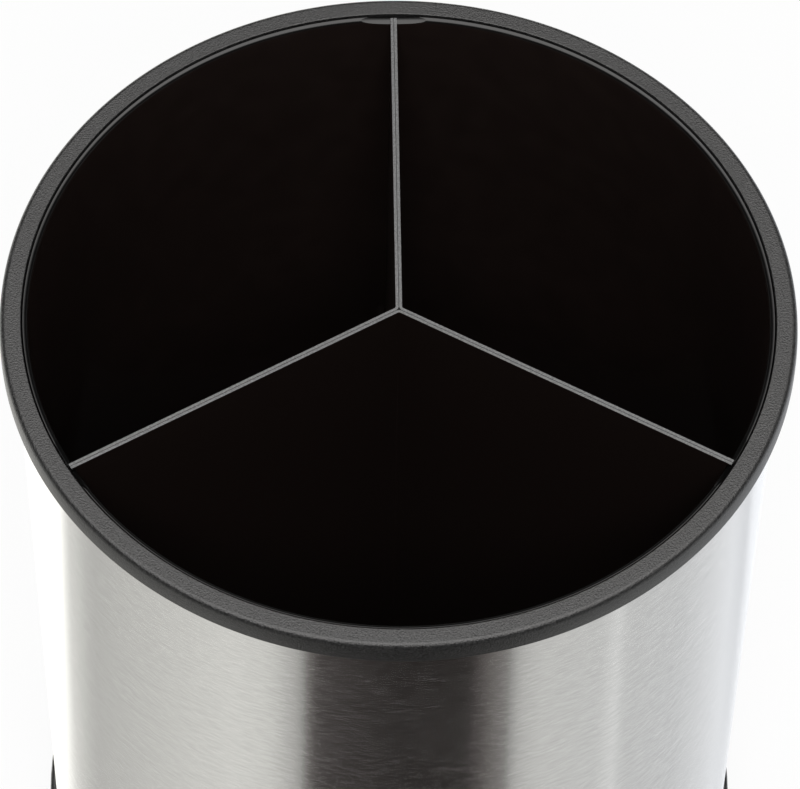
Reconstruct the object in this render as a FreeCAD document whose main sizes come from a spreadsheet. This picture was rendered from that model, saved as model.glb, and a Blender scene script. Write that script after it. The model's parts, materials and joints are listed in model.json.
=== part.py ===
import FreeCAD, Part
import math
import os
import re
import Sketcher

# Utensil crock: a steel cup that turns on a weighted base, with a drop-in liner and a three-way divider.
# Millimetres, +Z up, origin on the counter under the middle of the crock, one divider fin towards +Y.

# Driving dimensions
SIZES = {
    # Steel sleeve and the whole crock
    "overall_height": 192.0,
    "sleeve_radius": 76.0,
    "sleeve_wall": 0.6,
    "sleeve_bend": 1.2,
    "flange_width": 6.0,
    # Gaps between pieces that are fixed together, and between the base and the cup that turns on it
    "fit_gap": 0.1,
    "running_gap": 0.8,
    # Rim ring
    "rim_overhang": 2.9,
    "rim_flare": 0.3,
    "rim_side_height": 4.7,
    "rim_crown_height": 2.3,
    "rim_top_thickness": 1.6,
    "rim_skirt_wall": 0.75,
    "rim_skirt_depth": 9.0,
    "rim_edge_radius": 1.2,
    "rim_crease_share": 0.88,
    "rim_lip_radius": 0.2,
    "rim_mouth_radius": 0.2,
    # Liner
    "liner_gap": 0.3,
    "liner_wall": 1.1,
    "liner_floor": 1.5,
    "liner_drop": 0.4,
    "liner_edge_radius": 1.05,
    "liner_corner_radius": 1.5,
    "notch_width": 14.0,
    "notch_depth": 1.2,
    "notch_slope_share": 0.73,
    "rib_width": 1.5,
    "rib_reach": 3.0,
    "rib_top_drop": 105.0,
    # Grip mat
    "mat_thickness": 1.6,
    "mat_gap": 0.5,
    "mat_ring_count": 9,
    "mat_groove_width": 2.0,
    "mat_groove_depth": 0.6,
    # Divider
    "fin_count": 3,
    "sheet_thickness": 0.58,
    "sheet_seam": 0.1,
    "sheet_bend": 0.5,
    "divider_drop": 0.5,
    "divider_gap": 0.35,
    # Base
    "base_overhang": 1.65,
    "base_wall": 2.0,
    "base_edge_radius": 1.0,
    "foot_stand": 1.5,
    "foot_width": 5.0,
    "foot_seat": 0.8,
    "foot_inset": 2.0,
    "foot_bevel": 0.4,
    "cover_thickness": 2.4,
    "cover_gap": 0.15,
    "cover_room": 1.6,
    "weight_thickness": 5.0,
    "weight_bore": 20.0,
    "weight_gap": 0.2,
    "plateau_thickness": 2.0,
    "boss_radius": 4.0,
    "boss_gap": 0.4,
    "boss_inset": 12.0,
    "boss_count": 4,
    # Screws
    "screw_head_radius": 2.6,
    "screw_head_depth": 1.2,
    "screw_radius": 1.4,
    "screw_tip_room": 0.3,
    "screw_slot_width": 0.6,
    "screw_slot_depth": 0.7,
    "cover_screw_length": 6.5,
    "race_screw_length": 3.2,
    "race_screw_inset": 5.5,
    "race_screw_count": 4,
    # Ball bearing
    "bearing_inset": 12.4,
    "ball_radius": 2.0,
    "ball_count": 18,
    "ball_gap": 0.1,
    "race_thickness": 1.6,
    "groove_depth": 0.6,
    "race_outer_margin": 5.0,
    "race_inner_margin": 9.0,
    "cage_thickness": 1.6,
    "cage_margin": 4.0,
    "cage_gap": 0.15,
    # Turntable and pivot
    "table_thickness": 2.5,
    "skirt_wall": 3.0,
    "hub_gap": 1.2,
    "hub_thickness": 2.5,
    "hub_room": 1.5,
    "shaft_gap": 0.05,
    "shoulder_radius": 4.0,
    "thread_radius": 3.0,
    "bolt_head_radius": 7.0,
    "bolt_head_height": 2.5,
    "bolt_socket_radius": 3.0,
    "bolt_socket_depth": 1.5,
    "bolt_tail": 0.5,
    "washer_radius": 9.0,
    "washer_thickness": 0.8,
    "washer_gap": 0.1,
    "nut_width": 10.0,
    "nut_height": 4.0,
}

# Places worked out from the driving dimensions
PLACES = {
    # Radii from the sleeve inwards
    "sleeve_inner": "sleeve_radius - sleeve_wall",
    "flange_inner": "sleeve_radius - flange_width",
    "rim_slot_inner": "sleeve_inner - fit_gap",
    "rim_mouth": "rim_slot_inner - rim_skirt_wall",
    "liner_outer": "rim_mouth - liner_gap",
    "liner_inner": "liner_outer - liner_wall",
    "divider_reach": "liner_inner - divider_gap",
    "ear_reach": "liner_outer - divider_gap",
    "mat_radius": "liner_inner - rib_reach - mat_gap",
    "mat_pitch": "mat_radius / mat_ring_count",
    "skirt_outer": "sleeve_inner - fit_gap",
    "skirt_inner": "skirt_outer - skirt_wall",
    # Radii from the sleeve outwards
    "rim_slot_outer": "sleeve_radius + fit_gap",
    "rim_outer": "sleeve_radius + rim_overhang",
    "rim_edge": "rim_outer - rim_flare",
    "base_outer": "sleeve_radius + base_overhang",
    "cover_outer": "base_outer - base_wall - cover_gap",
    "foot_outer": "cover_outer - foot_inset",
    "foot_inner": "foot_outer - foot_width",
    # Rounding of the crease between the rim's leaning crown and its upright side
    "rim_flare_length": "sqrt(rim_flare ^ 2 + rim_crown_height ^ 2)",
    "rim_crease_span": "rim_crease_share * (rim_crown_height - rim_edge_radius)",
    "rim_crease_radius": "rim_crease_span * (rim_flare_length + rim_crown_height) / rim_flare",
    # Radii of the base's raised middle and what it carries
    "plateau_outer": "flange_inner - running_gap",
    "plateau_inner": "plateau_outer - base_wall",
    "weight_outer": "plateau_inner - weight_gap",
    "boss_circle": "weight_outer - boss_inset",
    "bearing_circle": "plateau_outer - bearing_inset",
    "race_outer": "bearing_circle + race_outer_margin",
    "race_inner": "bearing_circle - race_inner_margin",
    "race_screw_circle": "bearing_circle - race_screw_inset",
    "hub_recess": "washer_radius + hub_room",
    "hub_outer": "hub_recess + hub_thickness",
    "screw_hole": "screw_radius + shaft_gap",
    "screw_seat": "screw_head_radius + shaft_gap",
    # Heights from the counter upwards
    "foot_top": "foot_stand + foot_seat",
    "cover_top": "foot_stand + cover_thickness",
    "ledge_inside": "cover_top + cover_room",
    "ledge_top": "ledge_inside + base_wall",
    "sleeve_bottom": "ledge_top + running_gap",
    "flange_top": "sleeve_bottom + sleeve_wall",
    "weight_top": "cover_top + weight_thickness",
    "plateau_top": "weight_top + plateau_thickness",
    "lower_race_top": "plateau_top + race_thickness",
    "ball_middle": "lower_race_top - groove_depth + ball_gap + ball_radius",
    "table_bottom": "2 * ball_middle - plateau_top",
    "upper_race_bottom": "table_bottom - race_thickness",
    "table_top": "table_bottom + table_thickness",
    "floor_top": "table_top + liner_floor",
    "mat_top": "floor_top + mat_thickness",
    "hub_bottom": "plateau_top + hub_gap",
    "hub_top": "hub_bottom + hub_thickness",
    "washer_bottom": "hub_top + washer_gap",
    "washer_top": "washer_bottom + washer_thickness",
    "bolt_head_top": "washer_top + bolt_head_height",
    "nut_bottom": "weight_top - nut_height",
    "bolt_end": "nut_bottom - bolt_tail",
    # Heights from the rim downwards
    "rim_bottom": "overall_height - rim_side_height",
    "rim_crease": "overall_height - rim_crown_height",
    "rim_slot_top": "overall_height - rim_top_thickness",
    "rim_skirt_bottom": "overall_height - rim_skirt_depth",
    "sleeve_top": "rim_slot_top - fit_gap",
    "liner_top": "overall_height - liner_drop",
    "divider_top": "overall_height - divider_drop",
    "notch_stretch": "sqrt(1 + notch_slope_share ^ 2)",
    "notch_cut": "notch_depth / notch_stretch",
    "notch_arc": "(notch_width ^ 2 / 4 + notch_cut ^ 2) / (2 * notch_cut)",
    "notch_middle": "liner_top - notch_depth + notch_arc * notch_stretch",
    "ear_floor": "liner_top - notch_depth + divider_gap * notch_stretch",
    "rib_top": "overall_height - rib_top_drop",
    # Distances from the middle plane of a divider fin
    "seam_face": "sheet_seam / 2",
    "sheet_face": "seam_face + sheet_thickness",
    "rib_near": "sheet_face + divider_gap",
    "rib_far": "rib_near + rib_width",
}

FULL_TURN = 360.0
FRONT_TURN = 270.0
PANEL_NAMES = ["divider_panel_front", "divider_panel_right", "divider_panel_left"]
HEX_SIDES = 6
MATCH_TOLERANCE = 1e-4

doc = FreeCAD.newDocument("UtensilCrock")
sizes_sheet = doc.addObject("Spreadsheet::Sheet", "Sizes")
places_sheet = doc.addObject("Spreadsheet::Sheet", "Places")
subparts = []


def fill_sheet(sheet, cells):
    for row, (alias, content) in enumerate(cells.items(), start=1):
        sheet.set(f"A{row}", alias)
        sheet.set(f"B{row}", content)
        sheet.setAlias(f"B{row}", alias)
    doc.recompute()


def with_sheets(formula, tables):
    """The formula with each size or place name pointing at its sheet."""

    def pointed(match):
        name = match.group(0)
        for sheet_name, table in tables.items():
            if name in table:
                return f"{sheet_name}.{name}"
        return name

    return re.sub(r"[a-z_]+", pointed, formula)


def bound(formula):
    return with_sheets(formula, {"Sizes": SIZES, "Places": PLACES})


def value(formula):
    return float(places_sheet.evalExpression(bound(formula)))


def count(alias):
    return int(SIZES[alias])


def origin_item(body, role):
    for item in body.Origin.OriginFeatures:
        if item.Role == role:
            return item
    raise ValueError(f"no {role} in {body.Label}")


def new_body(name):
    body = doc.addObject("PartDesign::Body", name)
    body.Label = name
    subparts.append(body)
    return body


def new_sketch(body, role, lift=None, turn=0.0):
    """An empty sketch on an origin plane, lifted off it or turned about the crock's axis."""
    sketch = body.newObject("Sketcher::SketchObject", f"{body.Label}_sketch")
    sketch.AttachmentSupport = [(origin_item(body, role), "")]
    sketch.MapMode = "FlatFace"
    upright = FreeCAD.Rotation(FreeCAD.Vector(0, 1, 0), turn)
    sketch.AttachmentOffset = FreeCAD.Placement(FreeCAD.Vector(), upright)
    if lift:
        sketch.setExpression("AttachmentOffset.Base.z", bound(lift))
    return sketch


def fix_distance(sketch, kind, geometry, end, formula):
    axis_line = -2 if kind == "DistanceX" else -1
    if formula == "0":
        sketch.addConstraint(Sketcher.Constraint("PointOnObject", geometry, end, axis_line))
        return
    number = sketch.addConstraint(Sketcher.Constraint(kind, -1, 1, geometry, end, value(formula)))
    sketch.setExpression(f"Constraints[{number}]", bound(formula))


def fix_radius(sketch, geometry, formula):
    number = sketch.addConstraint(Sketcher.Constraint("Radius", geometry, value(formula)))
    sketch.setExpression(f"Constraints[{number}]", bound(formula))


def draw_outline(sketch, points):
    """A closed outline of straight lines through the points."""
    spots = [FreeCAD.Vector(value(x), value(y), 0) for x, y in points]
    for index, start in enumerate(spots):
        end = spots[(index + 1) % len(spots)]
        sketch.addGeometry(Part.LineSegment(start, end), False)
    for index in range(len(points)):
        following = (index + 1) % len(points)
        sketch.addConstraint(Sketcher.Constraint("Coincident", index, 2, following, 1))
    for index, (x, y) in enumerate(points):
        fix_distance(sketch, "DistanceX", index, 1, x)
        fix_distance(sketch, "DistanceY", index, 1, y)


def draw_circle(sketch, x, y, radius):
    middle = FreeCAD.Vector(value(x), value(y), 0)
    circle = Part.Circle(middle, FreeCAD.Vector(0, 0, 1), value(radius))
    geometry = sketch.addGeometry(circle, False)
    fix_distance(sketch, "DistanceX", geometry, 3, x)
    fix_distance(sketch, "DistanceY", geometry, 3, y)
    fix_radius(sketch, geometry, radius)


def spin(body, sketch, kind, axis):
    feature = body.newObject(kind, f"{body.Label}_turned")
    feature.Profile = sketch
    feature.ReferenceAxis = (sketch, [axis])
    feature.Angle = FULL_TURN
    doc.recompute()
    return feature


def turned_body(name, points):
    """A body of revolution about the crock's axis, from (radius, height) points."""
    body = new_body(name)
    sketch = new_sketch(body, "XZ_Plane")
    draw_outline(sketch, points)
    spin(body, sketch, "PartDesign::Revolution", "V_Axis")
    return body


def turned_about(body, kind, circle, points, turn=0.0):
    """A body of revolution, or a cut, about an upright line that far from the crock's axis.

    The points are (distance from that line, height), and the first and last lie on the line.
    """
    sketch = new_sketch(body, "XZ_Plane", turn=turn)
    draw_outline(sketch, [(f"{circle} + ({offset})", height) for offset, height in points])
    first = FreeCAD.Vector(value(circle), value(points[0][1]), 0)
    last = FreeCAD.Vector(value(circle), value(points[-1][1]), 0)
    line = sketch.addGeometry(Part.LineSegment(first, last), True)
    sketch.addConstraint(Sketcher.Constraint("Coincident", line, 1, 0, 1))
    sketch.addConstraint(Sketcher.Constraint("Coincident", line, 2, len(points) - 1, 1))
    return spin(body, sketch, kind, "Axis0")


def repeat_around(body, feature, count_alias):
    pattern = body.newObject("PartDesign::PolarPattern", f"{body.Label}_pattern")
    pattern.Originals = [feature]
    pattern.Axis = (origin_item(body, "Z_Axis"), [""])
    pattern.Angle = FULL_TURN
    pattern.setExpression("Occurrences", bound(count_alias))
    body.Tip = pattern
    doc.recompute()


def raised(body, sketch, length):
    pad = body.newObject("PartDesign::Pad", f"{body.Label}_pad")
    pad.Profile = sketch
    pad.setExpression("Length", bound(length))
    doc.recompute()
    return pad


def cut_along(body, sketch, length, both_ways=False):
    """A pocket to one side of its sketch or to both, which has to take something away."""
    before = body.Shape.Volume
    pocket = body.newObject("PartDesign::Pocket", f"{body.Label}_pocket")
    pocket.Profile = sketch
    pocket.Midplane = both_ways
    pocket.setExpression("Length", bound(length))
    doc.recompute()
    if body.Shape.Volume >= before:
        raise ValueError(f"a pocket in {body.Label} cuts nothing")
    return pocket


def edges_where(shape, test):
    return [f"Edge{number}" for number, edge in enumerate(shape.Edges, start=1) if test(edge)]


def on_ring(spots):
    """A test for round edges about the crock's axis at any of the (radius, height) spots."""
    rings = [(value(radius), value(height)) for radius, height in spots]

    def test(edge):
        curve = edge.Curve
        if not isinstance(curve, Part.Circle):
            return False
        for radius, height in rings:
            near_radius = abs(curve.Radius - radius) < MATCH_TOLERANCE
            near_height = abs(curve.Center.z - height) < MATCH_TOLERANCE
            if near_radius and near_height:
                return True
        return False

    return test


def round_edges(body, test, radius):
    base = body.Tip
    names = edges_where(base.Shape, test)
    if not names:
        raise ValueError(f"no edge to round in {body.Label}")
    fillet = body.newObject("PartDesign::Fillet", f"{body.Label}_fillet")
    fillet.Base = (base, names)
    fillet.setExpression("Radius", bound(radius))
    doc.recompute()


def ring_points(inner, outer, bottom, top):
    return [(inner, bottom), (outer, bottom), (outer, top), (inner, top)]


# Base

def make_foot_ring():
    turned_body("foot_ring", [
        ("foot_inner + foot_bevel", "0"),
        ("foot_outer - foot_bevel", "0"),
        ("foot_outer", "foot_bevel"),
        ("foot_outer", "foot_top"),
        ("foot_inner", "foot_top"),
        ("foot_inner", "foot_bevel"),
    ])


def make_base_cover():
    body = turned_body("base_cover", [
        ("0", "foot_stand"),
        ("foot_inner - fit_gap", "foot_stand"),
        ("foot_inner - fit_gap", "foot_top"),
        ("foot_outer + fit_gap", "foot_top"),
        ("foot_outer + fit_gap", "foot_stand"),
        ("cover_outer", "foot_stand"),
        ("cover_outer", "cover_top"),
        ("0", "cover_top"),
    ])
    hole = turned_about(body, "PartDesign::Groove", "boss_circle", [
        ("0", "foot_stand"),
        ("screw_seat", "foot_stand"),
        ("screw_hole", "foot_stand + screw_head_depth"),
        ("screw_hole", "cover_top"),
        ("0", "cover_top"),
    ])
    repeat_around(body, hole, "boss_count")


def make_base_weight():
    body = turned_body("base_weight", ring_points("weight_bore", "weight_outer", "cover_top", "weight_top"))
    hole = turned_about(body, "PartDesign::Groove", "boss_circle", [
        ("0", "cover_top"),
        ("boss_radius + boss_gap", "cover_top"),
        ("boss_radius + boss_gap", "weight_top"),
        ("0", "weight_top"),
    ])
    repeat_around(body, hole, "boss_count")


def make_base_shell():
    body = turned_body("base_shell", [
        ("base_outer - base_wall", "foot_stand"),
        ("base_outer", "foot_stand"),
        ("base_outer", "ledge_top"),
        ("plateau_outer", "ledge_top"),
        ("plateau_outer", "plateau_top"),
        ("thread_radius + shaft_gap", "plateau_top"),
        ("thread_radius + shaft_gap", "weight_top"),
        ("plateau_inner", "weight_top"),
        ("plateau_inner", "ledge_inside"),
        ("base_outer - base_wall", "ledge_inside"),
    ])
    boss_sketch = new_sketch(body, "XY_Plane", lift="cover_top")
    draw_circle(boss_sketch, "boss_circle", "0", "boss_radius")
    boss = raised(body, boss_sketch, "plateau_top - cover_top")
    repeat_around(body, boss, "boss_count")
    pilot = turned_about(body, "PartDesign::Groove", "boss_circle", [
        ("0", "cover_top"),
        ("screw_hole", "cover_top"),
        ("screw_hole", "foot_stand + cover_screw_length + screw_tip_room"),
        ("0", "foot_stand + cover_screw_length + screw_tip_room"),
    ])
    repeat_around(body, pilot, "boss_count")
    race_pilot = turned_about(body, "PartDesign::Groove", "race_screw_circle", [
        ("0", "lower_race_top - race_screw_length - screw_tip_room"),
        ("screw_hole", "lower_race_top - race_screw_length - screw_tip_room"),
        ("screw_hole", "plateau_top"),
        ("0", "plateau_top"),
    ], turn=race_screw_turn())
    repeat_around(body, race_pilot, "race_screw_count")
    outer_edges = on_ring([("base_outer", "ledge_top"), ("base_outer", "foot_stand")])
    round_edges(body, outer_edges, "base_edge_radius")


# Screws

def race_screw_turn():
    """The race screws stand halfway between the base's screw bosses."""
    return FULL_TURN / 2 / count("boss_count")


def make_screws(name, circle, head, sign, length, count_alias, turn=0.0):
    """Countersunk screws in a ring, with the head's flat face at that height and the shank up or down."""
    body = new_body(name)
    neck = f"{head} {sign} screw_head_depth"
    tip = f"{head} {sign} {length}"
    points = [
        ("0", head),
        ("screw_head_radius", head),
        ("screw_radius", neck),
        ("screw_radius", tip),
        ("0", tip),
    ]
    if sign == "-":
        points.reverse()
    screw = turned_about(body, "PartDesign::Revolution", circle, points, turn)
    repeat_around(body, screw, count_alias)
    slot_sketch = new_sketch(body, "XZ_Plane", turn=turn)
    slot_end = f"{head} {sign} screw_slot_depth"
    low, high = (head, slot_end) if sign == "+" else (slot_end, head)
    near = f"{circle} - screw_head_radius"
    far = f"{circle} + screw_head_radius"
    draw_outline(slot_sketch, ring_points(near, far, low, high))
    slot = cut_along(body, slot_sketch, "screw_slot_width", both_ways=True)
    repeat_around(body, slot, count_alias)


def make_all_screws():
    turn = race_screw_turn()
    make_screws("cover_screws", "boss_circle", "foot_stand", "+", "cover_screw_length", "boss_count")
    make_screws("lower_race_screws", "race_screw_circle", "lower_race_top", "-", "race_screw_length",
                "race_screw_count", turn)
    make_screws("upper_race_screws", "race_screw_circle", "upper_race_bottom", "+", "race_screw_length",
                "race_screw_count", turn)


# Ball bearing

def make_race(name, bottom, top, seat, far_face, sign):
    """A flat ring with a ball groove, and countersunk holes whose wide end is at the seat face."""
    body = turned_body(name, ring_points("race_inner", "race_outer", bottom, top))
    groove = body.newObject("PartDesign::SubtractiveTorus", f"{name}_groove")
    groove.AttachmentSupport = [(origin_item(body, "XY_Plane"), "")]
    groove.MapMode = "FlatFace"
    groove.setExpression("AttachmentOffset.Base.z", bound("ball_middle"))
    groove.setExpression("Radius1", bound("bearing_circle"))
    groove.setExpression("Radius2", bound("ball_radius + ball_gap"))
    doc.recompute()
    neck = f"{seat} {sign} screw_head_depth"
    points = [
        ("0", seat),
        ("screw_seat", seat),
        ("screw_hole", neck),
        ("screw_hole", far_face),
        ("0", far_face),
    ]
    if sign == "-":
        points.reverse()
    hole = turned_about(body, "PartDesign::Groove", "race_screw_circle", points, race_screw_turn())
    repeat_around(body, hole, "race_screw_count")


def make_races():
    make_race("lower_race", "plateau_top", "lower_race_top", "lower_race_top", "plateau_top", "-")
    make_race("upper_race", "upper_race_bottom", "table_bottom", "upper_race_bottom", "table_bottom", "+")


def make_ball_cage():
    bottom = "ball_middle - cage_thickness / 2"
    top = "ball_middle + cage_thickness / 2"
    inner = "bearing_circle - cage_margin"
    outer = "bearing_circle + cage_margin"
    body = turned_body("ball_cage", ring_points(inner, outer, bottom, top))
    hole = turned_about(body, "PartDesign::Groove", "bearing_circle", [
        ("0", bottom),
        ("ball_radius + cage_gap", bottom),
        ("ball_radius + cage_gap", top),
        ("0", top),
    ])
    repeat_around(body, hole, "ball_count")


def make_bearing_balls():
    body = new_body("bearing_balls")
    ball = body.newObject("PartDesign::AdditiveSphere", "bearing_balls_first")
    ball.AttachmentSupport = [(origin_item(body, "XY_Plane"), "")]
    ball.MapMode = "FlatFace"
    ball.setExpression("AttachmentOffset.Base.x", bound("bearing_circle"))
    ball.setExpression("AttachmentOffset.Base.z", bound("ball_middle"))
    ball.setExpression("Radius", bound("ball_radius"))
    doc.recompute()
    repeat_around(body, ball, "ball_count")


# Pivot

def make_pivot_bolt():
    body = turned_body("pivot_bolt", [
        ("0", "bolt_end"),
        ("thread_radius", "bolt_end"),
        ("thread_radius", "plateau_top"),
        ("shoulder_radius", "plateau_top"),
        ("shoulder_radius", "washer_top"),
        ("bolt_head_radius", "washer_top"),
        ("bolt_head_radius", "bolt_head_top"),
        ("0", "bolt_head_top"),
    ])
    socket_sketch = new_sketch(body, "XY_Plane", lift="bolt_head_top")
    corners = []
    for side in range(HEX_SIDES):
        angle = f"({side} * 360 deg / {HEX_SIDES} + 180 deg / {HEX_SIDES})"
        corners.append((f"bolt_socket_radius * cos({angle})", f"bolt_socket_radius * sin({angle})"))
    draw_outline(socket_sketch, corners)
    cut_along(body, socket_sketch, "bolt_socket_depth")


def make_pivot_washer():
    bore = "shoulder_radius + shaft_gap"
    turned_body("pivot_washer", ring_points(bore, "washer_radius", "washer_bottom", "washer_top"))


def make_pivot_nut():
    block = doc.addObject("Part::Prism", "pivot_nut_block")
    block.Polygon = HEX_SIDES
    block.setExpression("Circumradius", bound(f"nut_width / 2 / cos(180 deg / {HEX_SIDES})"))
    block.setExpression("Height", bound("nut_height"))
    block.setExpression("Placement.Base.z", bound("nut_bottom"))
    bore = doc.addObject("Part::Cylinder", "pivot_nut_bore")
    bore.setExpression("Radius", bound("thread_radius + shaft_gap"))
    bore.setExpression("Height", bound("nut_height"))
    bore.setExpression("Placement.Base.z", bound("nut_bottom"))
    nut = doc.addObject("Part::Cut", "pivot_nut")
    nut.Base = block
    nut.Tool = bore
    nut.Label = "pivot_nut"
    subparts.append(nut)


# Turning cup

def make_turntable():
    body = turned_body("turntable", [
        ("shoulder_radius + shaft_gap", "hub_bottom"),
        ("hub_outer", "hub_bottom"),
        ("hub_outer", "table_bottom"),
        ("skirt_inner", "table_bottom"),
        ("skirt_inner", "flange_top"),
        ("skirt_outer", "flange_top"),
        ("skirt_outer", "table_top"),
        ("hub_recess", "table_top"),
        ("hub_recess", "hub_top"),
        ("shoulder_radius + shaft_gap", "hub_top"),
    ])
    pilot = turned_about(body, "PartDesign::Groove", "race_screw_circle", [
        ("0", "table_bottom"),
        ("screw_hole", "table_bottom"),
        ("screw_hole", "upper_race_bottom + race_screw_length + screw_tip_room"),
        ("0", "upper_race_bottom + race_screw_length + screw_tip_room"),
    ], turn=race_screw_turn())
    repeat_around(body, pilot, "race_screw_count")
    round_edges(body, on_ring([("skirt_outer", "flange_top")]), "sleeve_bend")


def make_steel_sleeve():
    body = turned_body("steel_sleeve", [
        ("flange_inner", "sleeve_bottom"),
        ("sleeve_radius", "sleeve_bottom"),
        ("sleeve_radius", "sleeve_top"),
        ("sleeve_inner", "sleeve_top"),
        ("sleeve_inner", "flange_top"),
        ("flange_inner", "flange_top"),
    ])
    round_edges(body, on_ring([("sleeve_radius", "sleeve_bottom")]), "sleeve_bend")
    round_edges(body, on_ring([("sleeve_inner", "flange_top")]), "sleeve_bend - sleeve_wall")


def make_rim_ring():
    """A crown with a flat top and a side that leans out to a soft crease and then drops straight."""
    body = turned_body("rim_ring", [
        ("rim_mouth", "rim_skirt_bottom"),
        ("rim_slot_inner", "rim_skirt_bottom"),
        ("rim_slot_inner", "rim_slot_top"),
        ("rim_slot_outer", "rim_slot_top"),
        ("rim_slot_outer", "rim_bottom"),
        ("rim_outer", "rim_bottom"),
        ("rim_outer", "rim_crease"),
        ("rim_edge", "overall_height"),
        ("rim_mouth", "overall_height"),
    ])
    round_edges(body, on_ring([("rim_outer", "rim_bottom")]), "rim_lip_radius")
    round_edges(body, on_ring([("rim_outer", "rim_crease")]), "rim_crease_radius")
    round_edges(body, on_ring([("rim_edge", "overall_height")]), "rim_edge_radius")
    round_edges(body, on_ring([("rim_mouth", "overall_height")]), "rim_mouth_radius")


# Liner and its mat

def make_liner():
    body = turned_body("liner", [
        ("0", "table_top"),
        ("liner_outer", "table_top"),
        ("liner_outer", "liner_top"),
        ("liner_inner", "liner_top"),
        ("liner_inner", "floor_top"),
        ("0", "floor_top"),
    ])
    round_edges(body, on_ring([("liner_inner", "liner_top")]), "liner_edge_radius")
    round_edges(body, on_ring([("liner_inner", "floor_top")]), "liner_corner_radius")
    round_edges(body, on_ring([("liner_outer", "table_top")]), "liner_corner_radius + liner_wall")
    cut_notches(body)
    add_guide_ribs(body)


def cut_notches(body):
    """A shallow scoop out of the top edge at each divider fin, which slopes down to the inside."""
    sketch = new_sketch(body, "XZ_Plane")
    tilt = math.degrees(math.atan(value("notch_slope_share")))
    leaning = FreeCAD.Rotation(FreeCAD.Vector(1, 0, 0), tilt)
    sketch.AttachmentOffset = FreeCAD.Placement(FreeCAD.Vector(), leaning)
    sketch.setExpression("AttachmentOffset.Base.y", bound("notch_middle"))
    sketch.setExpression("AttachmentOffset.Base.z", bound("-liner_inner"))
    draw_circle(sketch, "0", "0", "notch_arc")
    notch = cut_along(body, sketch, "2 * notch_arc", both_ways=True)
    repeat_around(body, notch, "fin_count")


def add_guide_ribs(body):
    """A pair of upright ribs on the wall at each fin, which keeps the divider from turning."""
    root = "liner_inner + liner_wall / 2"
    tip = "liner_inner - rib_reach"
    for near, far in (("rib_near", "rib_far"), ("-rib_far", "-rib_near")):
        sketch = new_sketch(body, "XY_Plane", lift="floor_top")
        draw_outline(sketch, [(near, tip), (far, tip), (far, root), (near, root)])
        rib = raised(body, sketch, "rib_top - floor_top")
        repeat_around(body, rib, "fin_count")


def make_grip_mat():
    ground = "mat_top - mat_groove_depth"
    points = [("0", "floor_top"), ("mat_radius", "floor_top"), ("mat_radius", "mat_top")]
    for ring in range(count("mat_ring_count") - 1, 0, -1):
        outer = f"mat_pitch * {ring} + mat_groove_width / 2"
        inner = f"mat_pitch * {ring} - mat_groove_width / 2"
        points += [(outer, "mat_top"), (outer, ground), (inner, ground), (inner, "mat_top")]
    points.append(("0", "mat_top"))
    turned_body("grip_mat", points)


# Divider

def on_wing(along, offset, side):
    """A point of a panel's wing, which leaves the middle at half the angle between two fins."""
    half = "(180 deg / fin_count)"
    x = f"{along} * cos({half}) + {offset} * sin({half})"
    y = f"{side} * ({along} * sin({half}) - {offset} * cos({half}))"
    return x, y


def make_divider_panel(name, turn):
    """A sheet bent to lie along both walls of one compartment, which opens towards the turn angle."""
    body = new_body(name)
    sketch = new_sketch(body, "XY_Plane", lift="mat_top")
    back_corner = "seam_face / sin(180 deg / fin_count)"
    front_corner = "sheet_face / sin(180 deg / fin_count)"
    draw_outline(sketch, [
        (back_corner, "0"),
        on_wing("ear_reach", "seam_face", -1),
        on_wing("ear_reach", "sheet_face", -1),
        (front_corner, "0"),
        on_wing("ear_reach", "sheet_face", 1),
        on_wing("ear_reach", "seam_face", 1),
    ])
    raised(body, sketch, "divider_top - mat_top")
    round_edges(body, upright_at(front_corner), "sheet_bend")
    round_edges(body, upright_at(back_corner), "sheet_bend + sheet_thickness")
    trim_ends(body)
    body.Placement = FreeCAD.Placement(FreeCAD.Vector(), FreeCAD.Rotation(FreeCAD.Vector(0, 0, 1), turn))
    doc.recompute()


def trim_ends(body):
    """Cuts the wings back to the liner's wall, but for an ear on top that reaches out over each notch."""
    sketch = new_sketch(body, "XZ_Plane")
    draw_outline(sketch, [
        ("divider_reach", "floor_top"),
        ("rim_outer", "floor_top"),
        ("rim_outer", "ear_floor + notch_slope_share * (rim_outer - liner_inner)"),
        ("divider_reach", "ear_floor + notch_slope_share * (divider_reach - liner_inner)"),
    ])
    spin(body, sketch, "PartDesign::Groove", "V_Axis")


def upright_at(x):
    """A test for the upright edge in the XZ plane at that distance from the axis."""
    distance = value(x)

    def test(edge):
        for vertex in edge.Vertexes:
            away = math.hypot(vertex.Point.x - distance, vertex.Point.y)
            if away > MATCH_TOLERANCE:
                return False
        return True

    return test


def make_divider():
    for index, name in enumerate(PANEL_NAMES):
        make_divider_panel(name, FRONT_TURN + index * FULL_TURN / count("fin_count"))


def check_document():
    for item in doc.Objects:
        if "Invalid" in item.State or "Error" in item.State:
            raise ValueError(f"{item.Label} failed: {item.State}")
    for item in subparts:
        if item.Shape.isNull() or not item.Shape.isValid():
            raise ValueError(f"{item.Label} has no valid shape")


def write_parts():
    os.makedirs("parts", exist_ok=True)
    for item in subparts:
        item.Shape.exportStep(f"parts/{item.Label}.step")
        solids = len(item.Shape.Solids)
        print(f"{item.Label}: {solids} solids, {item.Shape.Volume:.1f} mm3")


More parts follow.
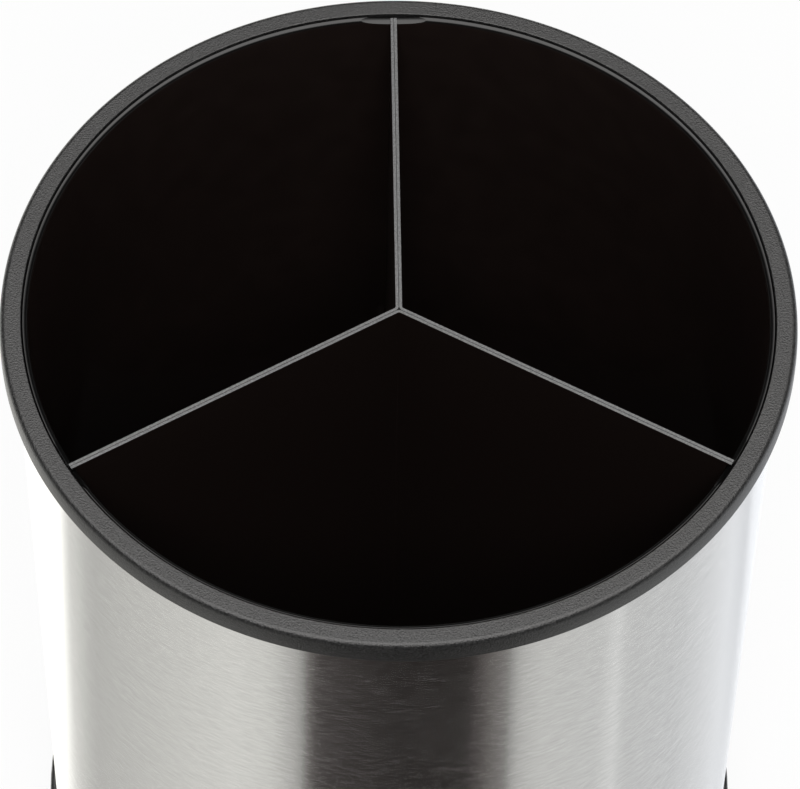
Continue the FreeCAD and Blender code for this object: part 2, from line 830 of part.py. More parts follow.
size_cells = {alias: str(number) for alias, number in SIZES.items()}
place_cells = {alias: "=" + with_sheets(formula, {"Sizes": SIZES}) for alias, formula in PLACES.items()}
fill_sheet(sizes_sheet, size_cells)
fill_sheet(places_sheet, place_cells)
make_foot_ring()
make_base_cover()
make_base_weight()
make_base_shell()
make_all_screws()
make_races()
make_ball_cage()
make_bearing_balls()
make_pivot_bolt()
make_pivot_washer()
make_pivot_nut()
make_turntable()
make_steel_sleeve()
make_rim_ring()
make_liner()
make_grip_mat()
make_divider()
doc.recompute()
check_document()
write_parts()
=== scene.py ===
import json
import math

import bmesh
import bpy
from mathutils import Matrix, Vector


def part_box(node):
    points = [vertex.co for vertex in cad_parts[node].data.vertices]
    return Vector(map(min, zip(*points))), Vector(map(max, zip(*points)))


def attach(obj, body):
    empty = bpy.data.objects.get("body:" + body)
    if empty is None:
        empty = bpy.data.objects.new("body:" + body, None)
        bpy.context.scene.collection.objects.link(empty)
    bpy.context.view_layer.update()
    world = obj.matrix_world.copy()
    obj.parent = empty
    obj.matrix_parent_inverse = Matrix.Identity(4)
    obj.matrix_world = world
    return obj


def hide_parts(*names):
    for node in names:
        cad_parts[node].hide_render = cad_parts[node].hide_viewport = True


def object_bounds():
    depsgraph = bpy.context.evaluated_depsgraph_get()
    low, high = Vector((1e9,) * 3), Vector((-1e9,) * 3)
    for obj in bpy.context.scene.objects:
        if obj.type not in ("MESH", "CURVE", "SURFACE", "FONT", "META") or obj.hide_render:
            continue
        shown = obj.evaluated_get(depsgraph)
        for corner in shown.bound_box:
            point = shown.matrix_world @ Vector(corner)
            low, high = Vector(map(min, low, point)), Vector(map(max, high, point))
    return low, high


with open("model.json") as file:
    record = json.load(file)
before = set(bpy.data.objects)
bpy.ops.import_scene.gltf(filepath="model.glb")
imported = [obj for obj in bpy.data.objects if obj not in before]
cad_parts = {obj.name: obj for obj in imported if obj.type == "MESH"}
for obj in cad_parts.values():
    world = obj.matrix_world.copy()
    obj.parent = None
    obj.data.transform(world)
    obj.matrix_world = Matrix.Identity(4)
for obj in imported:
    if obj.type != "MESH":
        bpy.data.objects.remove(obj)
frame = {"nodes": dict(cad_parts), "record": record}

# Utensil crock: finishes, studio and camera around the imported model. Metres, +Z up.

CAD_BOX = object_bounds()
UP = Vector((0.0, 0.0, 1.0))

# Photograph's frame and the camera that it was solved for
IMAGE_WIDTH = 800
IMAGE_HEIGHT = 789
FOCAL_PIXELS = 4750.0
SENSOR_WIDTH = 36.0
CAMERA_DISTANCE = 0.9378
CAMERA_ELEVATION = math.radians(54.29)
CAMERA_TURN = math.radians(-1.8)
CAMERA_ROLL = math.radians(1.16)
RIM_MIDDLE_PIXEL = (399.0, 307.5)

# Sleeve, rim ring and liner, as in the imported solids
SLEEVE_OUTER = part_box("steel_sleeve")[1].x
SLEEVE_WALL = 0.0006
FIT_GAP = 0.0001
RIM_LOW, RIM_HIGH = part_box("rim_ring")
RIM_OVERHANG = 0.0029
RIM_FLARE = 0.0003
RIM_SIDE_HEIGHT = 0.0047
RIM_CROWN_HEIGHT = 0.0023
RIM_TOP_THICKNESS = 0.0016
RIM_SKIRT_WALL = 0.00075
RIM_EDGE_RADIUS = 0.0012
RIM_CREASE_SHARE = 0.88
RIM_LIP_RADIUS = 0.0002
RIM_MOUTH_RADIUS = 0.0002
SHARP_RADIUS = 0.00005
LINER_LOW, LINER_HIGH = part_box("liner")
LINER_GAP = 0.0003
LINER_WALL = 0.0011
LINER_FLOOR = 0.0015
LINER_EDGE_RADIUS = 0.00105
LINER_CORNER_RADIUS = 0.0015

# Guide ribs on the liner's wall, in pairs beside the divider's fins, which are two sheets back to back
FIN_COUNT = 3
SHEET_THICKNESS = 0.00058
SHEET_SEAM = 0.0001
DIVIDER_GAP = 0.00035
RIB_WIDTH = 0.0015
RIB_REACH = 0.003
RIB_TOP_DROP = 0.105
RIB_EDGE = 0.0002
RIB_EDGE_SEGMENTS = 2

# Notches in the liner's edge, wider than the solid's, whose ground climbs outwards ever more steeply
NOTCH_WIDTH = 0.0168
NOTCH_DEPTH = 0.00115
NOTCH_RISE = 0.48
NOTCH_DISH = 140000.0
NOTCH_LIP = 0.00003

# Radii and heights that follow from these
RIM_SLOT_INNER = SLEEVE_OUTER - SLEEVE_WALL - FIT_GAP
RIM_MOUTH = RIM_SLOT_INNER - RIM_SKIRT_WALL
RIM_OUTER = SLEEVE_OUTER + RIM_OVERHANG
RIM_FLARE_LENGTH = math.hypot(RIM_FLARE, RIM_CROWN_HEIGHT)
RIM_CREASE_SPAN = RIM_CREASE_SHARE * (RIM_CROWN_HEIGHT - RIM_EDGE_RADIUS)
RIM_CREASE_RADIUS = RIM_CREASE_SPAN * (RIM_FLARE_LENGTH + RIM_CROWN_HEIGHT) / RIM_FLARE
LINER_OUTER = RIM_MOUTH - LINER_GAP
LINER_INNER = LINER_OUTER - LINER_WALL
LINER_FLOOR_TOP = LINER_LOW.z + LINER_FLOOR
LINER_TOP = LINER_HIGH.z
RIB_OFFSET = SHEET_SEAM / 2 + SHEET_THICKNESS + DIVIDER_GAP

# Fineness of the turned pieces, and the share of up below which a face counts as a wall
ARC_PITCH = 0.00006
ARC_STEPS = (3, 20)
RIM_STEPS = 400
NOTCH_STEPS = 160
WALL_STEPS = 100
NOTCH_REACH = math.radians(8.0)
WALL_UP = 0.02

# Studio
FLOOR_SIZE = 8.0
FLOOR_COLOR = (0.9, 0.9, 0.9, 1.0)
FLOOR_ROUGHNESS = 0.9
FLOOR_GLOW_SHARE = 0.91
AMBIENT_STRENGTH = 0.4
WHITE = (1.0, 1.0, 1.0, 1.0)


# Node helpers

NOISE_SPAN = (0.3, 0.7)
WHOLE_SPAN = (0.0, 1.0)


def socket_name(word):
    return word.replace("_", " ")


def start_material(name, **settings):
    """A new node material with plain values set on its shader's own sockets."""
    finish = bpy.data.materials.new(name)
    finish.use_nodes = True
    shader = finish.node_tree.nodes["Principled BSDF"]
    for word, value in settings.items():
        shader.inputs[socket_name(word)].default_value = value
    return finish, finish.node_tree, shader


def connect(tree, shader, **outputs):
    for word, output in outputs.items():
        tree.links.new(output, shader.inputs[socket_name(word)])


def feed(tree, socket, value):
    """Sets a plain value on a socket, or links another node's output to it."""
    if isinstance(value, bpy.types.NodeSocket):
        tree.links.new(value, socket)
    else:
        socket.default_value = value


def noise(tree, grains, detail, stretch=(1.0, 1.0, 1.0)):
    """Noise fixed to the part. Its grains are counted per metre, times the stretch along each axis."""
    place = tree.nodes.new("ShaderNodeTexCoord")
    mapping = tree.nodes.new("ShaderNodeMapping")
    mapping.inputs["Scale"].default_value = stretch
    texture = tree.nodes.new("ShaderNodeTexNoise")
    texture.inputs["Scale"].default_value = grains
    texture.inputs["Detail"].default_value = detail
    tree.links.new(place.outputs["Object"], mapping.inputs["Vector"])
    tree.links.new(mapping.outputs["Vector"], texture.inputs["Vector"])
    return texture.outputs["Fac"]


def ramp(tree, value, span, reach=WHOLE_SPAN):
    """A value carried over from one span to another, and held at its ends."""
    node = tree.nodes.new("ShaderNodeMapRange")
    node.inputs["From Min"].default_value, node.inputs["From Max"].default_value = span
    node.inputs["To Min"].default_value, node.inputs["To Max"].default_value = reach
    tree.links.new(value, node.inputs["Value"])
    return node.outputs["Result"]


def mixed_color(tree, factor, first, second):
    """A colour between two, each either a plain colour or another node's output."""
    node = tree.nodes.new("ShaderNodeMix")
    node.data_type = "RGBA"
    tree.links.new(factor, node.inputs["Factor"])
    entries = [item for item in node.inputs if item.type == "RGBA"]
    for entry, color in zip(entries, (first, second)):
        feed(tree, entry, color)
    return [item for item in node.outputs if item.type == "RGBA"][0]


def mixed_number(tree, factor, first, second):
    """A number between two, each either a plain number or another node's output."""
    node = tree.nodes.new("ShaderNodeMix")
    tree.links.new(factor, node.inputs["Factor"])
    feed(tree, node.inputs["A"], first)
    feed(tree, node.inputs["B"], second)
    return node.outputs["Result"]


def calculated(tree, operation, first, second):
    node = tree.nodes.new("ShaderNodeMath")
    node.operation = operation
    for entry, value in zip(node.inputs, (first, second)):
        feed(tree, entry, value)
    return node.outputs["Value"]


def axes_of(tree, vector):
    """The X, Y and Z of a vector."""
    node = tree.nodes.new("ShaderNodeSeparateXYZ")
    tree.links.new(vector, node.inputs["Vector"])
    return node.outputs


def speckle(tree, texture, colors):
    """A colour between a dark and a light one, by a texture."""
    return mixed_color(tree, ramp(tree, texture, NOISE_SPAN), *colors)


def add_bump(tree, shader, height, depth, strength=1.0):
    node = tree.nodes.new("ShaderNodeBump")
    node.inputs["Distance"].default_value = depth
    node.inputs["Strength"].default_value = strength
    tree.links.new(height, node.inputs["Height"])
    connect(tree, shader, Normal=node.outputs["Normal"])


def facing_up(tree, span):
    """0 on upright faces and 1 on faces that look up, with a change over the span of the normal's Z."""
    geometry = tree.nodes.new("ShaderNodeNewGeometry")
    return ramp(tree, axes_of(tree, geometry.outputs["Normal"])["Z"], span)


def greys(*levels):
    return [(level, level, level, 1.0) for level in levels]


# Finishes. Grains are per metre, and a pair of values goes with the low and the high parts of a texture.

STEEL_GRAINS = 340.0
STEEL_DETAIL = 1.5
STEEL_STRETCH = (1.0, 1.0, 9.0)
STEEL_COLORS = [(0.6, 0.6, 0.595, 1.0), (0.72, 0.72, 0.715, 1.0)]
STREAK_SPAN = (0.36, 0.72)
STREAK_ROUGHNESS = (0.14, 0.245)
STREAK_DEPTH = 0.000004
STREAK_STRENGTH = 0.3
BRUSHING_TURN = 0.25


def sleeve_steel():
    """Stainless steel brushed around the cup: fine level streaks that draw reflections out up and down."""
    finish, tree, shader = start_material(
        "sleeve_steel", Metallic=1.0, Anisotropic=1.0, Anisotropic_Rotation=BRUSHING_TURN)
    streaks = noise(tree, STEEL_GRAINS, STEEL_DETAIL, STEEL_STRETCH)
    color = speckle(tree, streaks, STEEL_COLORS)
    roughness = ramp(tree, streaks, STREAK_SPAN, STREAK_ROUGHNESS)
    tangent = tree.nodes.new("ShaderNodeTangent")
    tangent.direction_type = "RADIAL"
    tangent.axis = "Z"
    connect(tree, shader, Base_Color=color, Roughness=roughness, Tangent=tangent.outputs["Tangent"])
    add_bump(tree, shader, streaks, STREAK_DEPTH, STREAK_STRENGTH)
    return finish


PLASTIC_GRAINS = 2900.0
PLASTIC_DETAIL = 1.0
PLASTIC_COLORS = greys(0.002, 0.026)
PLASTIC_TOP_SPAN = (0.2, 0.8)
PLASTIC_TOP_ROUGHNESS = (0.42, 0.32)
PLASTIC_SIDE_ROUGHNESS = 0.42
PLASTIC_DEPTH = 0.00008


def grained_plastic(name):
    """Moulded black plastic with a fine grain, which catches more light on top."""
    finish, tree, shader = start_material(name, Specular_IOR_Level=0.5)
    grain = noise(tree, PLASTIC_GRAINS, PLASTIC_DETAIL)
    top = ramp(tree, grain, NOISE_SPAN, PLASTIC_TOP_ROUGHNESS)
    roughness = mixed_number(tree, facing_up(tree, PLASTIC_TOP_SPAN), PLASTIC_SIDE_ROUGHNESS, top)
    connect(tree, shader, Base_Color=speckle(tree, grain, PLASTIC_COLORS), Roughness=roughness)
    add_bump(tree, shader, grain, PLASTIC_DEPTH)
    return finish


def rim_plastic():
    return grained_plastic("rim_plastic")


def base_plastic():
    return grained_plastic("base_plastic")


LINER_RIPPLES = 180.0
LINER_DETAIL = 2.0
# Painted light: the liner's upright walls take lighter, warmer colours than its faces that look up,
# standing in for light inside the crock
LINER_WALL_PAINTED_LIGHT_COLORS = [(0.0124, 0.0083, 0.0073, 1.0), (0.0152, 0.0103, 0.009, 1.0)]
LINER_EDGE_COLORS = greys(0.0025, 0.0035)
LINER_PAINTED_LIGHT_SPAN = (0.1, 0.7)
LINER_ROUGHNESS = (0.12, 0.16)
LINER_DEPTH = 0.00001


def liner_plastic():
    """Gloss black plastic with a slight ripple. Its walls are painted lighter and warmer than its edge and
    floor, as painted light deep inside the crock.
    """
    finish, tree, shader = start_material("liner_plastic", Specular_IOR_Level=0.35)
    ripple = noise(tree, LINER_RIPPLES, LINER_DETAIL)
    wall = speckle(tree, ripple, LINER_WALL_PAINTED_LIGHT_COLORS)
    edge = speckle(tree, ripple, LINER_EDGE_COLORS)
    # Painted light: upright faces get the lighter, warmer wall colours and faces that look up the darker
    # ones
    color = mixed_color(tree, facing_up(tree, LINER_PAINTED_LIGHT_SPAN), wall, edge)
    connect(tree, shader, Base_Color=color, Roughness=ramp(tree, ripple, NOISE_SPAN, LINER_ROUGHNESS))
    add_bump(tree, shader, ripple, LINER_DEPTH)
    return finish


SHEET_GRAINS = 2600.0
SHEET_DETAIL = 3.0
SHEET_WALL_COLORS = [(0.0075, 0.005, 0.0043, 1.0), (0.0095, 0.0063, 0.0054, 1.0)]
SHEET_EDGE_COLORS = greys(0.085, 0.2)
SHEET_EDGE_SPAN = (0.5, 0.9)
SHEET_ROUGHNESS = (0.3, 0.4)
SHEET_DEPTH = 0.00002


def divider_sheet():
    """Satin black coated sheet, with its faces that look up, the top edges, coloured grey."""
    finish, tree, shader = start_material("divider_sheet", Specular_IOR_Level=0.25)
    texture = noise(tree, SHEET_GRAINS, SHEET_DETAIL)
    wall = speckle(tree, texture, SHEET_WALL_COLORS)
    edge = speckle(tree, texture, SHEET_EDGE_COLORS)
    color = mixed_color(tree, facing_up(tree, SHEET_EDGE_SPAN), wall, edge)
    connect(tree, shader, Base_Color=color, Roughness=ramp(tree, texture, NOISE_SPAN, SHEET_ROUGHNESS))
    add_bump(tree, shader, texture, SHEET_DEPTH)
    return finish


def speckled_finish(name, grains, detail, colors, roughness, depth=0.0, **settings):
    """A finish whose colour, roughness and any height follow one texture."""
    finish, tree, shader = start_material(name, **settings)
    texture = noise(tree, grains, detail)
    color = speckle(tree, texture, colors)
    connect(tree, shader, Base_Color=color, Roughness=ramp(tree, texture, NOISE_SPAN, roughness))
    if depth > 0.0:
        add_bump(tree, shader, texture, depth)
    return finish


def soft_rubber(name, colors):
    """Matt rubber with a soft uneven skin."""
    return speckled_finish(
        name,
        grains=1200.0,
        detail=4.0,
        colors=colors,
        roughness=(0.85, 0.7),
        depth=0.00008,
        Specular_IOR_Level=0.35,
    )


def foot_rubber():
    return soft_rubber("foot_rubber", greys(0.032, 0.048))


def mat_rubber():
    return soft_rubber("mat_rubber", greys(0.0096, 0.0144))


def plated_steel():
    """Bright zinc plate with a faint crystal pattern."""
    return speckled_finish(
        "plated_steel",
        grains=700.0,
        detail=4.0,
        colors=[(0.55, 0.56, 0.58, 1.0), (0.68, 0.69, 0.71, 1.0)],
        roughness=(0.3, 0.42),
        depth=0.00002,
        Metallic=1.0,
    )


def ball_steel():
    """Polished bearing steel with faint handling marks."""
    return speckled_finish(
        "ball_steel",
        grains=900.0,
        detail=3.0,
        colors=greys(0.7, 0.78),
        roughness=(0.06, 0.14),
        Metallic=1.0,
    )


def cage_plastic():
    """Natural, slightly waxy plastic."""
    return speckled_finish(
        "cage_plastic",
        grains=250.0,
        detail=3.0,
        colors=[(0.68, 0.67, 0.62, 1.0), (0.8, 0.79, 0.75, 1.0)],
        roughness=(0.4, 0.52),
        depth=0.00002,
        Specular_IOR_Level=0.45,
    )


def ballast_iron():
    """Cast iron, rough from the mould and lightly oiled."""
    return speckled_finish(
        "ballast_iron",
        grains=900.0,
        detail=5.0,
        colors=[(0.1, 0.1, 0.105, 1.0), (0.2, 0.195, 0.19, 1.0)],
        roughness=(0.5, 0.7),
        depth=0.0002,
        Metallic=0.8,
    )


FINISHES = {
    "sleeve_steel": sleeve_steel,
    "rim_plastic": rim_plastic,
    "liner_plastic": liner_plastic,
    "divider_sheet": divider_sheet,
    "base_plastic": base_plastic,
    "foot_rubber": foot_rubber,
    "mat_rubber": mat_rubber,
    "plated_steel": plated_steel,
    "ball_steel": ball_steel,
    "cage_plastic": cage_plastic,
    "ballast_iron": ballast_iron,
}


def dress_nodes(finishes):
    """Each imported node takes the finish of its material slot."""
    for subpart in frame["record"]["subparts"]:
        node = frame["nodes"][subpart["node"]]
        node.material_slots[0].material = finishes[subpart["material_slot"]]


# Turned pieces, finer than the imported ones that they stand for

def rounded_corner(before, here, after):
    """Points round a corner of an outline: radius, height, and the normal's shares outwards and upwards."""
    rounding = here[2]
    middle = Vector(here[:2])
    arriving = (middle - Vector(before[:2])).normalized()
    leaving = (Vector(after[:2]) - middle).normalized()
    turn = math.atan2(arriving.x * leaving.y - arriving.y * leaving.x, arriving.dot(leaving))
    normal = Vector((arriving.y, -arriving.x))
    side = math.copysign(rounding, turn)
    center = middle - arriving * rounding * math.tan(abs(turn) / 2) - normal * side
    fewest, most = ARC_STEPS
    steps = min(most, max(fewest, math.ceil(rounding * abs(turn) / ARC_PITCH)))
    points = []
    for step in range(steps + 1):
        facing = Matrix.Rotation(turn * step / steps, 2) @ normal
        spot = center + facing * side
        points.append((spot.x, spot.y, facing.x, facing.y))
    return points


def revolved(point, angle):
    """The place and normal of an outline's point, turned about the crock's axis."""
    radius, height, out, up = point
    across = Vector((math.cos(angle), math.sin(angle), 0.0))
    return across * radius + UP * height, across * out + UP * up


def turned_piece(name, outline, angles, closed, shape=revolved):
    """A mesh with a ring of vertices for each point of the outline, and a single one on the axis."""
    spots = []
    normals = []
    rows = []
    for point in outline:
        row = []
        for angle in angles if point[0] > 0.0 else angles[:1]:
            spot, normal = shape(point, angle)
            row.append(len(spots))
            spots.append(spot)
            normals.append(normal)
        rows.append(row)
    pairs = list(zip(rows, rows[1:]))
    if closed:
        pairs.append((rows[-1], rows[0]))
    faces = []
    for low, high in pairs:
        for here in range(len(angles)):
            there = (here + 1) % len(angles)
            corners = [low[here % len(low)], low[there % len(low)]]
            corners += [high[there % len(high)], high[here % len(high)]]
            faces.append(list(dict.fromkeys(corners)))
    mesh = bpy.data.meshes.new(name)
    mesh.from_pydata(spots, [], faces)
    mesh.shade_smooth()
    mesh.normals_split_custom_set_from_vertices(normals)
    piece = bpy.data.objects.new(name, mesh)
    bpy.context.scene.collection.objects.link(piece)
    return piece


def settle(piece, finishes, slot, body):
    piece.data.materials.append(finishes[slot])
    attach(piece, body)


def add_rim(finishes):
    """The rim ring with even roundings, in place of its faceted solid."""
    slot_outer = SLEEVE_OUTER + FIT_GAP
    slot_top = RIM_HIGH.z - RIM_TOP_THICKNESS
    bottom = RIM_HIGH.z - RIM_SIDE_HEIGHT
    edge = RIM_OUTER - RIM_FLARE
    corners = [
        (RIM_MOUTH, RIM_LOW.z, SHARP_RADIUS),
        (RIM_SLOT_INNER, RIM_LOW.z, SHARP_RADIUS),
        (RIM_SLOT_INNER, slot_top, SHARP_RADIUS),
        (slot_outer, slot_top, SHARP_RADIUS),
        (slot_outer, bottom, SHARP_RADIUS),
        (RIM_OUTER, bottom, RIM_LIP_RADIUS),
        (RIM_OUTER, RIM_HIGH.z - RIM_CROWN_HEIGHT, RIM_CREASE_RADIUS),
        (edge, RIM_HIGH.z, RIM_EDGE_RADIUS),
        (RIM_MOUTH, RIM_HIGH.z, RIM_MOUTH_RADIUS),
    ]
    outline = []
    for index, here in enumerate(corners):
        outline += rounded_corner(corners[index - 1], here, corners[(index + 1) % len(corners)])
    angles = [2 * math.pi * step / RIM_STEPS for step in range(RIM_STEPS)]
    rim = turned_piece("rim", outline, angles, closed=True)
    settle(rim, finishes, "rim_plastic", "cup")
    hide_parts("rim_ring")


def fin_angle(fin):
    """The direction of a divider fin, of which the first points to the back."""
    return math.pi / 2 + 2 * math.pi * fin / FIN_COUNT


def with_notch(point, angle):
    """The place and normal of a point of the liner, with the dished scoop at each fin cut away."""
    spot, normal = revolved(point, angle)
    fin = fin_angle(round((angle - math.pi / 2) / (2 * math.pi / FIN_COUNT)))
    sideways = Vector((-math.sin(fin), math.cos(fin), 0.0))
    outward = Vector((math.cos(angle), math.sin(angle), 0.0))
    reach = NOTCH_WIDTH / 2
    share = spot.dot(sideways) / reach
    if abs(share) >= 1.0 or spot.dot(outward) < LINER_INNER / 2:
        return spot, normal
    out = spot.dot(outward) - LINER_INNER
    rise = out * (NOTCH_RISE + NOTCH_DISH * out ** 2)
    ground = LINER_TOP - NOTCH_DEPTH * (1.0 - share ** 2) + rise
    if ground >= spot.z:
        return spot, normal
    if normal.z < WALL_UP:
        spot.z = ground - NOTCH_LIP
        return spot, normal
    spot.z = ground
    climb = 2 * NOTCH_DEPTH * share / reach
    slope = sideways * climb + outward * (NOTCH_RISE + 3 * NOTCH_DISH * out ** 2)
    return spot, (UP - slope).normalized()


def liner_angles():
    """Close together at each notch and wider apart between them."""
    angles = []
    span = 2 * math.pi / FIN_COUNT - 2 * NOTCH_REACH
    for fin in range(FIN_COUNT):
        start = fin_angle(fin) - NOTCH_REACH
        angles += [start + 2 * NOTCH_REACH * step / NOTCH_STEPS for step in range(NOTCH_STEPS)]
        start = fin_angle(fin) + NOTCH_REACH
        angles += [start + span * step / WALL_STEPS for step in range(WALL_STEPS)]
    return angles


def add_liner(finishes):
    """The liner with an even rounded edge and smooth notches, in place of its faceted solid."""
    corners = [
        (0.0, LINER_LOW.z),
        (LINER_OUTER, LINER_LOW.z, LINER_CORNER_RADIUS + LINER_WALL),
        (LINER_OUTER, LINER_TOP, SHARP_RADIUS / 2),
        (LINER_INNER, LINER_TOP, LINER_EDGE_RADIUS),
        (LINER_INNER, LINER_FLOOR_TOP, LINER_CORNER_RADIUS),
        (0.0, LINER_FLOOR_TOP),
    ]
    outline = [(0.0, LINER_LOW.z, 0.0, -1.0)]
    for before, here, after in zip(corners, corners[1:], corners[2:]):
        outline += rounded_corner(before, here, after)
    outline.append((0.0, LINER_FLOOR_TOP, 0.0, 1.0))
    liner = turned_piece("liner_bucket", outline, liner_angles(), closed=False, shape=with_notch)
    settle(liner, finishes, "liner_plastic", "liner_bucket")
    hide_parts("liner")


def add_ribs(finishes):
    """The pairs of guide ribs on the liner's wall, with softened edges."""
    inner = LINER_INNER - RIB_REACH
    outer = LINER_INNER + LINER_WALL / 2
    top = RIM_HIGH.z - RIB_TOP_DROP
    shell = bmesh.new()
    for fin in range(FIN_COUNT):
        turn = Matrix.Rotation(fin_angle(fin), 3, "Z")
        for side in (-1.0, 1.0):
            rib = bmesh.ops.create_cube(shell, size=1.0)["verts"]
            across = side * (RIB_OFFSET + RIB_WIDTH / 2)
            place = Vector(((inner + outer) / 2, across, (LINER_FLOOR_TOP + top) / 2))
            bmesh.ops.scale(shell, vec=(outer - inner, RIB_WIDTH, top - LINER_FLOOR_TOP), verts=rib)
            bmesh.ops.translate(shell, vec=place, verts=rib)
            bmesh.ops.rotate(shell, cent=(0.0, 0.0, 0.0), matrix=turn, verts=rib)
    mesh = bpy.data.meshes.new("liner_ribs")
    shell.to_mesh(mesh)
    shell.free()
    ribs = bpy.data.objects.new("liner_ribs", mesh)
    bpy.context.scene.collection.objects.link(ribs)
    soften = ribs.modifiers.new("soft_edges", "BEVEL")
    soften.width = RIB_EDGE
    soften.segments = RIB_EDGE_SEGMENTS
    settle(ribs, finishes, "liner_plastic", "liner_bucket")


# Studio

def seen_directly(tree):
    """1 for rays that the camera, a gloss or clear material sends, and 0 for scattered light."""
    path = tree.nodes.new("ShaderNodeLightPath")
    seen = calculated(tree, "MAXIMUM", path.outputs["Is Camera Ray"], path.outputs["Is Glossy Ray"])
    return calculated(tree, "MAXIMUM", seen, path.outputs["Is Transmission Ray"])


def add_floor():
    """A plain white floor, which keeps part of the crock's shadow."""
    mesh = bpy.data.meshes.new("floor")
    half = FLOOR_SIZE / 2
    corners = [(-half, -half, 0.0), (half, -half, 0.0), (half, half, 0.0), (-half, half, 0.0)]
    mesh.from_pydata(corners, [], [(0, 1, 2, 3)])
    floor = bpy.data.objects.new("floor", mesh)
    bpy.context.scene.collection.objects.link(floor)
    finish, tree, shader = start_material(
        "floor", Base_Color=FLOOR_COLOR, Roughness=FLOOR_ROUGHNESS, Specular_IOR_Level=0.0)
    glow = tree.nodes.new("ShaderNodeEmission")
    glow.inputs["Color"].default_value = WHITE
    blend = tree.nodes.new("ShaderNodeMixShader")
    share = calculated(tree, "MULTIPLY", seen_directly(tree), FLOOR_GLOW_SHARE)
    tree.links.new(share, blend.inputs["Fac"])
    tree.links.new(shader.outputs["BSDF"], blend.inputs[1])
    tree.links.new(glow.outputs["Emission"], blend.inputs[2])
    tree.links.new(blend.outputs["Shader"], tree.nodes["Material Output"].inputs["Surface"])
    mesh.materials.append(finish)
    floor.visible_glossy = False


# What the brushed steel shows: (degrees round the cup from its front, positive to the right, brightness)
SURROUNDINGS = [
    (-180, 1.7),
    (-61.3, 1.7),
    (-60, 0.95),
    (-57, 0.86),
    (-55, 0.72),
    (-52.5, 0.65),
    (-40, 0.77),
    (-26, 0.92),
    (-20, 0.86),
    (-15.4, 0.53),
    (-14.4, 0.24),
    (-13, 0.09),
    (-8, 0.055),
    (0, 0.032),
    (9.5, 0.036),
    (11.5, 0.11),
    (15.8, 0.3),
    (17.2, 0.64),
    (21, 0.77),
    (31.5, 0.78),
    (33.5, 0.96),
    (35.5, 0.75),
    (46, 0.76),
    (53.7, 0.93),
    (59.7, 1.1),
    (64.7, 0.95),
    (67.7, 1.3),
    (180, 1.7),
]
HALF_TURN = 180.0

# What gloss sees above the crock: (sine of the height above the horizon, brightness)
SKY = [
    (-1.0, 0.0),
    (0.0, 0.03),
    (0.64, 0.06),
    (0.77, 0.95),
    (0.87, 4.2),
    (1.0, 4.3),
]
HORIZON_BLUR = 0.12

# Low lights at the two sides: direction and brightness
SIDE_GLOWS = [
    ((0.93, -0.15, -0.25), 1.0),
    ((-0.93, -0.15, -0.25), 0.1),
]
SIDE_GLOW_FALLOFF = 14.0


def level_curve(tree, value, pairs):
    """A brightness looked up from (place, brightness) pairs, with straight lines between them."""
    span = (pairs[0][0], pairs[-1][0])
    peak = max(level for place, level in pairs)
    spots = [((place - span[0]) / (span[1] - span[0]), level / peak) for place, level in pairs]
    curve = tree.nodes.new("ShaderNodeFloatCurve")
    points = curve.mapping.curves[0].points
    for spot in spots[1:-1]:
        points.new(*spot)
    for point, spot in zip(points, spots):
        point.location = spot
        point.handle_type = "VECTOR"
    curve.mapping.update()
    tree.links.new(ramp(tree, value, span), curve.inputs["Value"])
    return calculated(tree, "MULTIPLY", curve.outputs["Value"], peak)


def streak_turn(tree, place):
    """Degrees round the cup at which its level brushing shows a direction to the photograph's camera."""
    sight = Matrix.Rotation(CAMERA_TURN, 3, "Z") @ Vector((0.0, math.cos(CAMERA_ELEVATION), 0.0))
    axes = axes_of(tree, place)
    across = calculated(tree, "SUBTRACT", axes["X"], sight.x)
    front = calculated(tree, "SUBTRACT", sight.y, axes["Y"])
    turn = calculated(tree, "ARCTAN2", across, front)
    return calculated(tree, "MULTIPLY", turn, HALF_TURN / math.pi)


def side_glow(tree, place, direction, brightness):
    """A soft round light in one direction."""
    toward = tree.nodes.new("ShaderNodeVectorMath")
    toward.operation = "DOT_PRODUCT"
    toward.inputs[1].default_value = direction
    tree.links.new(place, toward.inputs[0])
    ahead = calculated(tree, "MAXIMUM", toward.outputs["Value"], 0.0)
    return calculated(tree, "MULTIPLY", calculated(tree, "POWER", ahead, SIDE_GLOW_FALLOFF), brightness)


def gloss_brightness(tree, place, turn, height):
    """A dark horizon under a bright overhead box, and below it a lit table with a dark front."""
    ground = level_curve(tree, turn, SURROUNDINGS)
    sky = level_curve(tree, height, SKY)
    above = ramp(tree, height, (-HORIZON_BLUR, HORIZON_BLUR))
    brightness = mixed_number(tree, above, ground, sky)
    for direction, strength in SIDE_GLOWS:
        brightness = calculated(tree, "ADD", brightness, side_glow(tree, place, direction, strength))
    return brightness


# Slight tints of the surroundings: warm where dark, on the left and at the back, cool at the far right
DARK_TINT = (1.0, 0.87, 0.83, 1.0)
SKY_TINT = (1.0, 0.98, 0.965, 1.0)
LEFT_TINT = (1.0, 0.99, 0.945, 1.0)
RIGHT_TINT = (0.97, 0.99, 1.03, 1.0)
COOLER_TURNS = (10.0, 65.0)
WARMER_TURNS = (180.0, 110.0)
DARK_SPAN = (0.0, 0.4)


def gloss_tint(tree, turn, brightness, height):
    cool = calculated(tree, "MINIMUM", ramp(tree, turn, COOLER_TURNS), ramp(tree, turn, WARMER_TURNS))
    sides = mixed_color(tree, cool, LEFT_TINT, RIGHT_TINT)
    ground = mixed_color(tree, ramp(tree, brightness, DARK_SPAN), DARK_TINT, sides)
    return mixed_color(tree, ramp(tree, height, (0.0, HORIZON_BLUR)), ground, SKY_TINT)


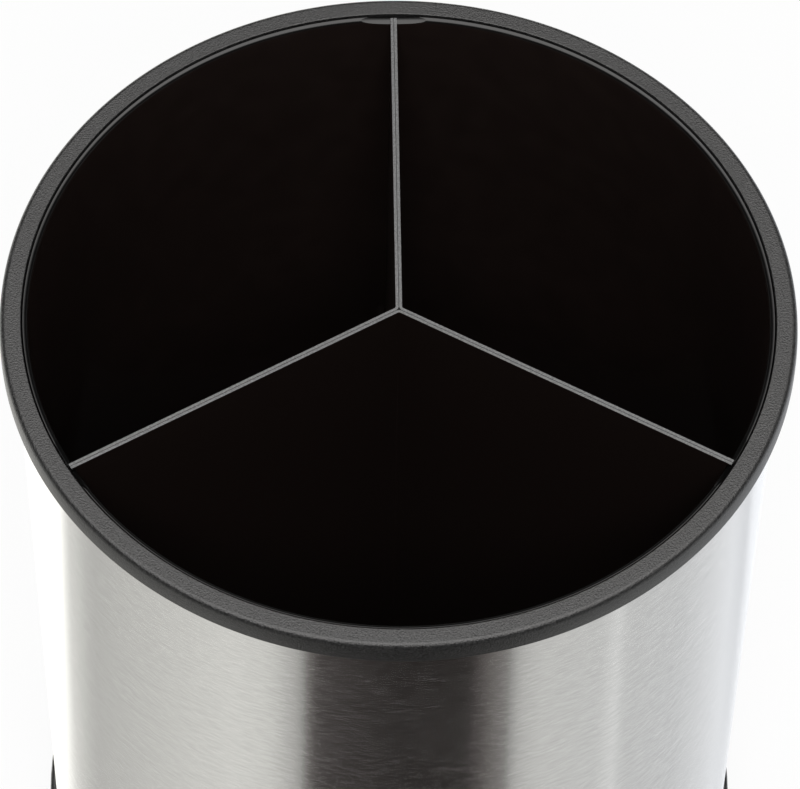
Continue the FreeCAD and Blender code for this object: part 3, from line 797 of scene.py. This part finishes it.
def add_world():
    """White behind the crock, the studio in its gloss, and soft even light from all round."""
    world = bpy.data.worlds.new("studio")
    bpy.context.scene.world = world
    world.use_nodes = True
    tree = world.node_tree
    path = tree.nodes.new("ShaderNodeLightPath").outputs
    plain = calculated(tree, "MAXIMUM", path["Is Camera Ray"], path["Is Transmission Ray"])
    scattered = calculated(tree, "MULTIPLY", path["Is Diffuse Ray"], AMBIENT_STRENGTH)
    place = tree.nodes.new("ShaderNodeTexCoord").outputs["Generated"]
    turn = streak_turn(tree, place)
    height = axes_of(tree, place)["Z"]
    brightness = gloss_brightness(tree, place, turn, height)
    gloss = calculated(tree, "MULTIPLY", path["Is Glossy Ray"], brightness)
    strength = calculated(tree, "ADD", calculated(tree, "ADD", plain, scattered), gloss)
    tint = gloss_tint(tree, turn, brightness, height)
    color = mixed_color(tree, path["Is Glossy Ray"], WHITE, tint)
    connect(tree, tree.nodes["Background"], Color=color, Strength=strength)


# Soft boxes: name, place, size and power in watts
SOFT_BOXES = [
    ("top_box", (0.0, 0.25, 1.5), 1.4, 6.5),
    ("front_box", (0.0, -0.85, 1.4), 0.6, 12.0),
]


def add_soft_boxes():
    middle = Vector((0.0, 0.0, CAD_BOX[1].z))
    for name, place, size, power in SOFT_BOXES:
        lamp = bpy.data.lights.new(name, "AREA")
        lamp.shape = "DISK"
        lamp.size = size
        lamp.energy = power
        box = bpy.data.objects.new(name, lamp)
        box.location = place
        box.rotation_euler = (middle - box.location).to_track_quat("-Z", "Y").to_euler()
        box.visible_glossy = False
        bpy.context.scene.collection.objects.link(box)


def add_camera():
    """The camera at the photograph's angle, with the middle of the rim on its pixel."""
    forward = Vector((0.0, math.cos(CAMERA_ELEVATION), -math.sin(CAMERA_ELEVATION)))
    right = Vector((1.0, 0.0, 0.0))
    looking = Matrix((right, forward.cross(right), forward))
    pixel_x, pixel_y = RIM_MIDDLE_PIXEL
    off_x = (pixel_x - IMAGE_WIDTH / 2) / FOCAL_PIXELS
    off_y = (pixel_y - IMAGE_HEIGHT / 2) / FOCAL_PIXELS
    ahead = Vector((0.0, 0.0, 1.0))
    aim = ahead.rotation_difference(Vector((off_x, off_y, 1.0))).to_matrix()
    roll = Matrix.Rotation(CAMERA_ROLL, 3, "Z")
    turn = Matrix.Rotation(CAMERA_TURN, 3, "Z")
    axes = aim @ roll @ looking @ turn.transposed()
    facing = Matrix((axes[0], -axes[1], -axes[2])).transposed()
    rim_middle = Vector((0.0, 0.0, CAD_BOX[1].z))
    place = turn @ (rim_middle - forward * CAMERA_DISTANCE)
    lens = bpy.data.cameras.new("camera")
    lens.sensor_width = SENSOR_WIDTH
    lens.lens = FOCAL_PIXELS / IMAGE_WIDTH * SENSOR_WIDTH
    camera = bpy.data.objects.new("camera", lens)
    camera.matrix_world = Matrix.Translation(place) @ facing.to_4x4()
    bpy.context.scene.collection.objects.link(camera)
    bpy.context.scene.camera = camera


finishes = {slot: make() for slot, make in FINISHES.items()}
dress_nodes(finishes)
add_rim(finishes)
add_liner(finishes)
add_ribs(finishes)
add_floor()
add_world()
add_soft_boxes()
add_camera()
bpy.context.scene.view_settings.view_transform = "Standard"
